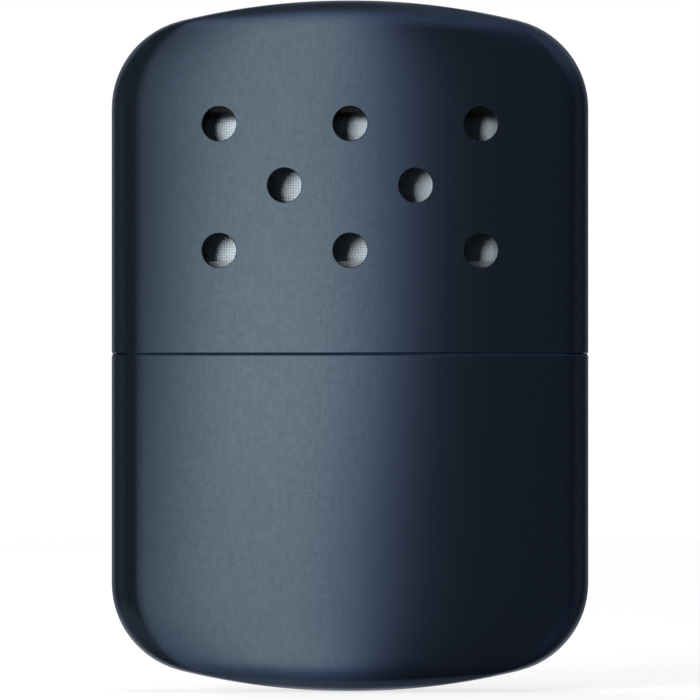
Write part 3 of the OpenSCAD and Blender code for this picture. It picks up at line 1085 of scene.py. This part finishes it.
class WARMER_OT_neck(bpy.types.Operator):
    """Draws the neck with its rounded lip and the flange under the shoulder"""
    bl_idname = "warmer.neck"
    bl_label = "Neck"

    def execute(self, context):
        tank, = settings(context, "tank")
        bottom, top = levels("filler_neck")
        wall, wide = tank.neck_wall, tank.flange_width
        flange = high("tank_collar").z - tank.collar_wall
        edge, fillet = 0.45 * wall, 0.1 * MM
        outline = rounded([
            (0, bottom, edge), (0, flange - wall, fillet), (wide, flange - wall, edge),
            (wide, flange, fillet), (0, flange, fillet / 2), (0, top, edge),
            (-wall, top, edge), (-wall, bottom, edge),
        ])
        add_sheet("plated_neck", neck_rings(tank, outline), "nickel_plate",
                  "tank", "filler_neck")
        return {"FINISHED"}


def weave_gauze(name, points, lifts, outs, edges, wire, tree, body, node):
    """Weaves a gauze on a lattice. Each edge is (start, end, whether it is warp)"""
    mesh = bpy.data.meshes.new(name)
    mesh.from_pydata(points, [edge[:2] for edge in edges], [])
    for label, kind, domain, key, values in (
        ("lift", "FLOAT", "POINT", "value", lifts),
        ("out", "FLOAT_VECTOR", "POINT", "vector", [value for way in outs for value in way]),
        ("warp", "BOOLEAN", "EDGE", "value", [edge[2] for edge in edges]),
    ):
        mesh.attributes.new(label, kind, domain).data.foreach_set(key, values)
    piece = add_object(name, mesh)
    run_tree(piece, tree, {"Wire": wire, "Material": finish("gauze_wire_steel")})
    make_plain(piece)
    hand_over(piece, body, node)


class WARMER_OT_neck_screen(bpy.types.Operator):
    """Weaves the flat screen in the neck"""
    bl_idname = "warmer.neck_screen"
    bl_label = "Neck screen"

    def execute(self, context):
        tank, = settings(context, "tank")
        pitch = tank.screen_pitch
        corner = high("neck_gauze")
        a, b = corner.x, corner.y
        z = sum(levels("neck_gauze")) / 2
        r = tank.neck_side_radius - tank.neck_wall - tank.slide_gap
        big = face_radius(a, b, r)

        def edge_y(x):
            """Half thickness of the screen at x"""
            side = a - r
            inner = big - math.sqrt(big * big - x * x)
            if b - inner > r * 0.5 and abs(x) < side:
                return b - inner
            return math.sqrt(max(0.0, r * r - (abs(x) - side) ** 2))

        columns, rows = int(a / pitch), int(b / pitch)
        index, points, lifts, edges = {}, [], [], []
        for i in range(-columns, columns + 1):
            for j in range(-rows, rows + 1):
                x, y = i * pitch, j * pitch
                if abs(y) <= edge_y(x) - 0.1 * MM:
                    index[i, j] = len(points)
                    points.append((x, y, z))
                    lifts.append(1.0 if (i + j) % 2 else -1.0)
        for (i, j), here in index.items():
            for step, warp in (((1, 0), True), ((0, 1), False)):
                there = index.get((i + step[0], j + step[1]))
                if there is not None:
                    edges.append((here, there, warp))
        weave_gauze("neck_screen", points, lifts, [(0, 0, 1)] * len(points), edges,
                    tank.screen_wire, gauze_tree(), "tank", "neck_gauze")
        return {"FINISHED"}


class WARMER_OT_felts(bpy.types.Operator):
    """Cuts the felt plug in the neck and the felt sheet over the cotton"""
    bl_idname = "warmer.felts"
    bl_label = "Felts"

    def execute(self, context):
        case, tank = settings(context, "case", "tank")
        offset = neck_offset(tank, "neck_felt")
        inset = high("lid_shell").x - high("wadding_cover").x
        for seed, (name, node, section, edge, crown) in enumerate((
            ("felt_plug", "neck_felt", lambda z: neck_ring(tank, offset, z), 0.25, 0.05),
            ("felt_sheet", "wadding_cover", lambda z: wall_rings(case, [(inset, z)])[0], 0.2, 0.04),
        ), 1):
            add_pad(name, node, section, edge * MM, crown * MM, [(0.06 * MM, 1.1 * MM, seed)],
                    "pressed_felt", "tank")
        return {"FINISHED"}


class WARMER_OT_cotton(bpy.types.Operator):
    """Packs the layers of absorbent cotton"""
    bl_idname = "warmer.cotton"
    bl_label = "Cotton layers"

    def execute(self, context):
        case, = settings(context, "case")
        nodes = sorted(name for name in NODE_BOX if name.startswith("cotton_batt_"))
        for layer, node in enumerate(nodes, 1):
            inset = max(high("lid_shell").y - high(node).y, case.wall)
            # The tip of the lowest layer is blunt, so that its rings don't fold up there
            blunt = inset + 0.4 * MM
            add_pad(f"cotton_layer_{layer}", node,
                    lambda z: case_ring(case, z, inset, max(z, blunt)), 1.2 * MM, 0.35 * MM,
                    [(0.5 * MM, 4 * MM, 10 + layer), (0.12 * MM, 0.9 * MM, 20 + layer)],
                    "cotton_wadding", "tank", grid=(10, 12))
        return {"FINISHED"}


def sleeve_rings(tank, node, wall):
    """Rings of a straight sleeve in the place of a node, with rounded edges"""
    outside, edge = neck_offset(tank, node), 0.4 * wall
    bottom, top = levels(node)
    return neck_rings(tank, rounded([
        (outside, bottom, edge), (outside, top, edge),
        (outside - wall, top, edge), (outside - wall, bottom, edge),
    ]))


class WARMER_OT_burner_skirt(bpy.types.Operator):
    """Draws the sleeve that slips over the neck"""
    bl_idname = "warmer.burner_skirt"
    bl_label = "Burner skirt"

    def execute(self, context):
        tank, burner = settings(context, "tank", "burner")
        add_sheet("slip_sleeve", sleeve_rings(tank, "burner_skirt", burner.wall),
                  "burner_brushed_steel", "burner", "burner_skirt")
        return {"FINISHED"}


class WARMER_OT_burner_cage(bpy.types.Operator):
    """Draws the cage and punches its slots, with its bars halfway between the vents' columns"""
    bl_idname = "warmer.burner_cage"
    bl_label = "Burner cage"

    def execute(self, context):
        tank, burner, vents = settings(context, "tank", "burner", "vents")
        piece = skin("slotted_cage", sleeve_rings(tank, "burner_casing", burner.wall), closed=True)
        bottom = high("burner_grid").z + burner.slot_corner / 4
        top = low("burner_cap").z - burner.slot_corner / 4
        step = vents.pitch / 2
        outer = neck_half(tank)[0] + neck_offset(tank, "burner_casing") - burner.spine
        outer_width = outer - step * 1.5 - burner.bar / 2
        tree, punches, through = punched_tree(), [], 0.02
        for name, width, count, pitch in (
            ("inner_slot", step - burner.bar, 3, step),
            ("outer_slot", outer_width, 2, 2 * (outer - outer_width / 2)),
        ):
            punches.append(slot_prism(name, width, bottom, top, burner.slot_corner, through))
            run_tree(piece, tree, {
                "Punch": punches[-1], "Count": count, "Pitch": pitch,
                "Material": finish("burner_brushed_steel"),
            })
        make_plain(piece, *punches)
        hand_over(piece, "burner", "burner_casing")
        return {"FINISHED"}


class WARMER_OT_burner_cap(bpy.types.Operator):
    """Turns the cap over the top of the cage"""
    bl_idname = "warmer.burner_cap"
    bl_label = "Burner cap"

    def execute(self, context):
        tank, burner = settings(context, "tank", "burner")
        wall = burner.wall
        outside, edge = neck_offset(tank, "burner_cap"), 0.4 * wall
        inside, lip = outside - wall, outside - burner.cap_lip
        bottom, top = levels("burner_cap")
        outline = rounded([
            (outside, bottom, edge), (outside, top, burner.cap_edge), (lip, top, edge),
            (lip, top - wall, edge), (inside, top - wall, burner.cap_edge - wall),
            (inside, bottom, edge),
        ])
        add_sheet("cage_cap", neck_rings(tank, outline), "burner_brushed_steel",
                  "burner", "burner_cap")
        return {"FINISHED"}


class WARMER_OT_burner_floor(bpy.types.Operator):
    """Cuts the pierced floor under the catalyst"""
    bl_idname = "warmer.burner_floor"
    bl_label = "Burner floor"

    def execute(self, context):
        tank, burner = settings(context, "tank", "burner")
        offset, edge = neck_offset(tank, "burner_grid"), 0.08 * MM
        bottom, top = levels("burner_grid")
        half_a, half_b, end_radius = neck_half(tank)
        plate = rounded([
            (-half_b / 2, bottom, 0), (offset, bottom, edge), (offset, top, edge),
            (-half_b / 2, top, 0),
        ], closed=False)
        piece = skin("pierced_floor", neck_rings(tank, plate[1:-1]))
        hole, far = burner.floor_hole / 2, 2 * MM
        # Half a step off the X axis, its points keep clear of the edges that they cut
        outline = [(0, -far), (hole, -far), (hole, far), (0, far)]
        punch = lathe("floor_punch", outline, HOLE_STEPS, shift=0.5)
        run_tree(piece, bpy.data.node_groups["Punched row"], {
            "Punch": punch, "Count": 2 * int((half_a - end_radius) / burner.floor_pitch) + 1,
            "Pitch": burner.floor_pitch, "Height": (bottom + top) / 2,
            "Material": finish("burner_brushed_steel"),
        })
        make_plain(piece, punch)
        hand_over(piece, "burner", "burner_grid")
        return {"FINISHED"}


class WARMER_OT_catalyst_sock(bpy.types.Operator):
    """Pulls the glass-fibre sock over its former"""
    bl_idname = "warmer.catalyst_sock"
    bl_label = "Catalyst sock"

    def execute(self, context):
        tank, burner = settings(context, "tank", "burner")
        bottom, top = levels("catalyst_cloth")
        outside, edge, hem = neck_offset(tank, "catalyst_cloth"), burner.cloth_edge, 0.2 * MM
        inside, under = outside - burner.cloth, top - burner.cloth
        inner_top = neck_ring(tank, inside, under)
        inner = [scaled_ring(inner_top, i / SOCK_RINGS, under) for i in range(1, SOCK_RINGS + 1)]
        inner += neck_rings(tank, [
            (inside, bottom + (under - bottom) * i / SOCK_ROWS)
            for i in range(SOCK_ROWS - 1, 0, -1)
        ])
        outer = neck_rings(tank, [
            (inside, bottom + hem), (inside + hem, bottom),
            (outside - hem, bottom), (outside, bottom + hem),
            *((outside, bottom + (top - edge - bottom) * i / SOCK_ROWS)
              for i in range(1, SOCK_ROWS)),
            *((outside - edge * (1 - math.cos(t)), top - edge * (1 - math.sin(t)))
              for t in arc(6)),
        ])
        outer += [
            scaled_ring(outer[-1], i / SOCK_RINGS, top) for i in range(SOCK_RINGS - 1, 0, -1)]
        piece = skin("catalyst_sock", inner + outer)
        sag(piece, 0.1 * MM, 2.2 * MM, 5)
        coat(piece, finish("glass_cloth"))
        hand_over(piece, "burner", "catalyst_cloth")
        return {"FINISHED"}


class WARMER_OT_sock_former(bpy.types.Operator):
    """Weaves the former that holds the sock open"""
    bl_idname = "warmer.sock_former"
    bl_label = "Sock former"

    def execute(self, context):
        tank, burner = settings(context, "tank", "burner")
        wire, pitch = burner.gauze_wire, burner.gauze_pitch
        bottom, top = (level + way * wire for level, way in zip(levels("support_gauze"), (1, -1)))
        offset = neck_offset(tank, "support_gauze") - wire
        ring = [Vector((x, y, 0)) for x, y, _ in neck_ring(tank, offset, 0)]
        lengths = [0.0]
        for i, point in enumerate(ring):
            lengths.append(lengths[-1] + (ring[(i + 1) % len(ring)] - point).length)
        columns = 2 * round(lengths[-1] / pitch / 2)
        rows = round((top - bottom) / pitch)
        places, outs = [], []
        for c in range(columns):
            goal = lengths[-1] * c / columns
            i = next(k for k in range(len(ring)) if lengths[k + 1] > goal)
            ahead = ring[(i + 1) % len(ring)] - ring[i]
            places.append(ring[i] + ahead.normalized() * (goal - lengths[i]))
            outs.append(Vector((-ahead.y, ahead.x, 0)).normalized())
        points, lifts, edges = [], [], []
        for row in range(rows + 1):
            z = bottom + (top - bottom) * row / rows
            for c, place in enumerate(places):
                here = row * columns + c
                points.append((place.x, place.y, z))
                lifts.append(1.0 if (row + c) % 2 else -1.0)
                edges.append((here, row * columns + (c + 1) % columns, True))
                if row < rows:
                    edges.append((here, here + columns, False))
        weave_gauze("sock_former", points, lifts, outs * (rows + 1), edges, wire,
                    bpy.data.node_groups["Woven gauze"], "burner", "support_gauze")
        return {"FINISHED"}


class WARMER_OT_wool_core(bpy.types.Operator):
    """Stuffs the former with glass wool"""
    bl_idname = "warmer.wool_core"
    bl_label = "Wool core"

    def execute(self, context):
        tank, = settings(context, "tank")
        offset = neck_offset(tank, "catalyst_core")
        add_pad("wool_core", "catalyst_core", lambda z: neck_ring(tank, offset, z),
                0.8 * MM, 0.3 * MM, [(0.3 * MM, 2.5 * MM, 31), (0.1 * MM, 0.8 * MM, 32)],
                "glass_wool", "burner", grid=(8, 26))
        return {"FINISHED"}


class WARMER_OT_rivets(bpy.types.Operator):
    """Sets the four rivets through the cage and the skirt"""
    bl_idname = "warmer.rivets"
    bl_label = "Rivets"

    def execute(self, context):
        tank, burner, vents = settings(context, "tank", "burner", "vents")
        head, rise, painted_seam_shade = burner.rivet_head / 2, 0.3 * MM, 0.01 * MM
        shank, tail_head, tail_rise = head / 2, 0.8 * head, 0.08 * MM
        tail = -(neck_offset(tank, "burner_casing") - neck_offset(tank, "burner_skirt")
                 + burner.wall)
        dome = [(head * math.cos(t), rise * math.sin(t)) for t in arc(6)[:-1]]
        rivet = lathe("one_rivet", [
            (0, tail - tail_rise), (tail_head, tail - tail_rise), (tail_head, tail),
            (shank, tail), (shank, painted_seam_shade), (head, painted_seam_shade), *dome, (0, rise),
        ], RIVET_STEPS)
        piece = skin("cage_rivets", sleeve_rings(tank, "burner_casing", burner.wall), closed=True)
        run_tree(piece, rivet_tree(), {
            "Rivet": rivet, "Pitch": 3 * vents.pitch / 2, "Height": sum(levels("casing_rivets")) / 2,
            "Reach": 2 * high("casing_rivets").y, "Material": finish("gauze_wire_steel"),
        })
        make_plain(piece, rivet)
        hand_over(piece, "burner", "casing_rivets")
        return {"FINISHED"}


# ---------------------------------------------------------------- the studio

# Where the lamps stand, and how wide and high each is
KEY_DISTANCE, KEY_SIZE, BEHIND_SHARE = 0.8, (0.37, 0.31), 0.6
TOP_DISTANCE, TOP_SIZE = 1.2, (0.8, 0.8)
# How the strip fades along its length: from one angle round from the front to another, in
# degrees, down to a share. Angles below 0 go down and under
STRIP_FADES = (
    (0, 7, 0.79), (12, 60, 0.82), (40, 112, 0.08),
    (0, -6.5, 0.78), (-4, -66, 0.33), (-40, -130, 0.3),
)
# Tints of the dim parts of the tent, on the left and elsewhere, and of its bright parts
COOL_SIDE, COOL, WARM = (0.92, 0.96, 1.16), (0.85, 0.945, 1.5), (1.03, 1.0, 0.935)
# The floor: its two tones, and where it fades to plain white
FLOOR_TONES = ((0.84,) * 3, (0.87,) * 3)
FLOOR_FADE = (0.22, 0.75)


def hide_from(thing, *rays):
    """Hides a lamp or a part of the stage from some kinds of rays"""
    for ray in rays:
        setattr(thing, "visible_" + ray, False)


def direct(turn, rise):
    """The way from the object to a lamp: turn to the left of the front, and up"""
    return Vector((
        -math.sin(turn) * math.cos(rise), -math.cos(turn) * math.cos(rise), math.sin(rise)))


def add_lamp(name, target, way, distance, size, power):
    """An area lamp that metal doesn't mirror, because it mirrors the tent"""
    data = bpy.data.lights.new(name, "AREA")
    data.shape = "RECTANGLE"
    data.size, data.size_y = size
    data.energy = power
    made = add_object(name, data)
    made.location = target + way * distance
    made.rotation_euler = (-way).to_track_quat("-Z", "Y").to_euler()
    hide_from(made, "camera", "glossy", "transmission")


def soft_step(value, start, end, low_out=0.0, high_out=1.0):
    """Goes smoothly from one level at the start to another at the end, in degrees"""
    return fit(value, math.radians(start), math.radians(end), low_out, high_out,
               interpolation_type="SMOOTHSTEP")


def bare_tree(owner):
    owner.use_nodes = True
    owner.node_tree.nodes.clear()
    return owner.node_tree


def tent_material(stage):
    """What the metal mirrors: a tall soft strip in front on the left that fades upwards and
    downwards and whose lower half leans to the left, a pale table below, dim cards at both sides,
    one dimmer still over the whole right, a card overhead on the right, a wide card behind and
    black cloth elsewhere. Dim parts are cooler than bright ones. Across is the angle to the right
    of the object's middle plane. Around is the angle up from the front, over the top or under
    the bottom, to the back. Back is the turn away from the front."""
    material = bpy.data.materials.new("light_tent")
    tree = bare_tree(material)
    place = put(tree, "ShaderNodeTexCoord").outputs["Object"]
    off = vector_calc("SUBTRACT", place, (0, 0, stage.view_height))
    way = separated(vector_calc("NORMALIZE", off))
    across, rise = calc("ARCSINE", way["X"]), calc("ARCSINE", way["Z"])
    front = times(way["Y"], -1.0)
    around = calc("ARCTAN2", way["Z"], front)
    back = size_of(calc("ARCTAN2", way["X"], front))

    slid = plus(across, soft_step(around, 1, -7, 0.0, stage.strip_lean))
    first, last, soft = (
        math.degrees(value) for value in (stage.strip_left, stage.strip_right, stage.strip_soft))
    strip = times(
        soft_step(slid, first - soft, first + soft),
        soft_step(slid, last - soft, last + soft, 1.0, 0.0),
        *(soft_step(around, start, end, 1.0, kept) for start, end, kept in STRIP_FADES))
    beside = most(soft_step(across, -18, -28, 0.0, 0.35), soft_step(across, 24, 36, 0.0, 0.12))
    table = times(
        soft_step(rise, -14, -24, 0.0, stage.table), soft_step(rise, -34, -52, 1.0, 0.4),
        most(beside, soft_step(back, 125, 150)))
    sides = soft_step(size_of(across), 60, 80, 0.0, stage.side_cards)
    behind = times(
        soft_step(back, 112, 138, 0.0, stage.behind),
        soft_step(size_of(rise), 25, 45, 1.0, 0.0), soft_step(across, 45, -45, 0.75, 1.25))
    right = soft_step(across, 15, 24, 0.0, 0.4 * stage.flag)
    over = times(
        soft_step(around, 18, 62, 0.0, stage.over), soft_step(across, -2, 11),
        soft_step(rise, 15, 35))
    total = plus(strip, stage.flag, table, sides, behind, right, over)

    cooler = times(soft_step(across, -30, 5), soft_step(back, 60, 100, 1.0, 0.0))
    tone = tint(fit(total, 0.2, 0.7), tint(cooler, COOL_SIDE, COOL), WARM)
    glow = result(tree, "ShaderNodeEmission", {
        "Color": tone, "Strength": times(total, stage.strip)})
    put(tree, "ShaderNodeOutputMaterial", {"Surface": glow})
    return material


def seen_share(tree):
    """1 where a camera, glossy or transmission ray looks, and 0 for the light's own rays"""
    path = put(tree, "ShaderNodeLightPath").outputs
    both = calc("ADD", path["Is Camera Ray"], path["Is Glossy Ray"], use_clamp=True)
    return calc("ADD", both, path["Is Transmission Ray"], use_clamp=True)


def floor_material(stage):
    """A pale floor that fades to plain white away from the object and keeps its shadow"""
    material = bpy.data.materials.new("pale_floor")
    tree = bare_tree(material)
    place = put(tree, "ShaderNodeTexCoord").outputs["Object"]
    away = put(tree, "ShaderNodeVectorMath", {0: place}, operation="LENGTH").outputs["Value"]
    tone = tint(fit(speckle(place, 900.0), 0.3, 0.7), *FLOOR_TONES)
    white = fit(away, *FLOOR_FADE, stage.floor_white, 1.0)
    mixed = result(tree, "ShaderNodeMixShader", {
        0: times(seen_share(tree), white),
        1: result(tree, "ShaderNodeBsdfDiffuse", {"Color": tone}),
        2: result(tree, "ShaderNodeEmission", {"Strength": 1.0}),
    })
    put(tree, "ShaderNodeOutputMaterial", {"Surface": mixed})
    return material


def white_world(stage):
    """White where the background is seen, and a low even light elsewhere"""
    world = bpy.data.worlds.new("studio")
    bpy.context.scene.world = world
    tree = bare_tree(world)
    back = result(tree, "ShaderNodeBackground", {
        "Color": (1, 1, 1, 1), "Strength": fit(seen_share(tree), 0.0, 1.0, stage.ambient, 1.0)})
    put(tree, "ShaderNodeOutputWorld", {"Surface": back})


class WARMER_OT_stage(bpy.types.Operator):
    """Sets up the camera, the pale floor, the lamps and the cards round the set"""
    bl_idname = "warmer.stage"
    bl_label = "Stage"

    def execute(self, context):
        stage, = settings(context, "stage")
        middle = Vector((0, 0, stage.view_height))
        data = bpy.data.cameras.new("camera")
        data.sensor_width = stage.sensor
        data.lens = stage.sensor * stage.camera_distance / stage.view_width
        data.clip_start, data.clip_end = 0.01, 50
        camera = add_object("camera", data)
        camera.location = middle + Vector((0, -stage.camera_distance, 0))
        camera.rotation_euler = (math.pi / 2, 0, 0)
        context.scene.camera = camera

        radius, reach = stage.floor_radius, stage.tent_radius
        rim = [(radius * math.cos(t), radius * math.sin(t), 0.0)
               for t in arc(STAGE_STEPS, 2 * math.pi)[:-1]]
        floor = smooth_object("floor", rim, [tuple(range(len(rim)))])
        tent = lathe("light_tent", [
            (reach * math.sin(t), stage.view_height - reach * math.cos(t))
            for t in arc(STAGE_STEPS // 2, math.pi)], STAGE_STEPS)
        coat(floor, floor_material(stage))
        coat(tent, tent_material(stage))
        hide_from(floor, "glossy", "diffuse")
        hide_from(tent, "camera", "diffuse", "volume_scatter", "shadow")

        for name, turn, power in (
            ("key", stage.key_turn, stage.key),
            ("key_behind", math.pi - stage.key_turn, stage.key * BEHIND_SHARE),
        ):
            add_lamp(name, middle, direct(turn, stage.key_rise), KEY_DISTANCE, KEY_SIZE, power)
        add_lamp("top", middle, Vector((0, 0, 1)), TOP_DISTANCE, TOP_SIZE, stage.top)
        white_world(stage)
        context.scene.view_settings.view_transform = "Standard"
        return {"FINISHED"}


OPERATORS = (
    WARMER_OT_finishes, WARMER_OT_stage, WARMER_OT_base, WARMER_OT_collar, WARMER_OT_neck,
    WARMER_OT_neck_screen, WARMER_OT_felts, WARMER_OT_cotton, WARMER_OT_burner_skirt,
    WARMER_OT_burner_cage, WARMER_OT_burner_cap, WARMER_OT_burner_floor,
    WARMER_OT_sock_former, WARMER_OT_catalyst_sock, WARMER_OT_wool_core, WARMER_OT_rivets,
    WARMER_OT_lid,
)


class WARMER_PT_pieces(bpy.types.Panel):
    """Lists the sizes and the steps"""
    bl_idname = "WARMER_PT_pieces"
    bl_label = "Hand warmer"
    bl_space_type = "VIEW_3D"
    bl_region_type = "UI"
    bl_category = "Hand warmer"

    def draw(self, context):
        for operator in OPERATORS:
            self.layout.operator(operator.bl_idname)
        for key, group in SETTINGS.items():
            box = self.layout.box()
            box.label(text=group.__doc__)
            for setting in group.__annotations__:
                box.prop(getattr(context.scene, key), setting)


CLASSES = (*SETTINGS.values(), *OPERATORS, WARMER_PT_pieces)


def register():
    for item in CLASSES:
        bpy.utils.register_class(item)
    for key, group in SETTINGS.items():
        setattr(bpy.types.Scene, key, bpy.props.PointerProperty(type=group))


def unregister():
    for key in SETTINGS:
        delattr(bpy.types.Scene, key)
    for item in reversed(CLASSES):
        bpy.utils.unregister_class(item)


def main():
    """Registers the add-on and makes every piece in order"""
    register()
    for operator in OPERATORS:
        group, name = operator.bl_idname.split(".")
        getattr(getattr(bpy.ops, group), name)()


if __name__ == "__main__":
    main()
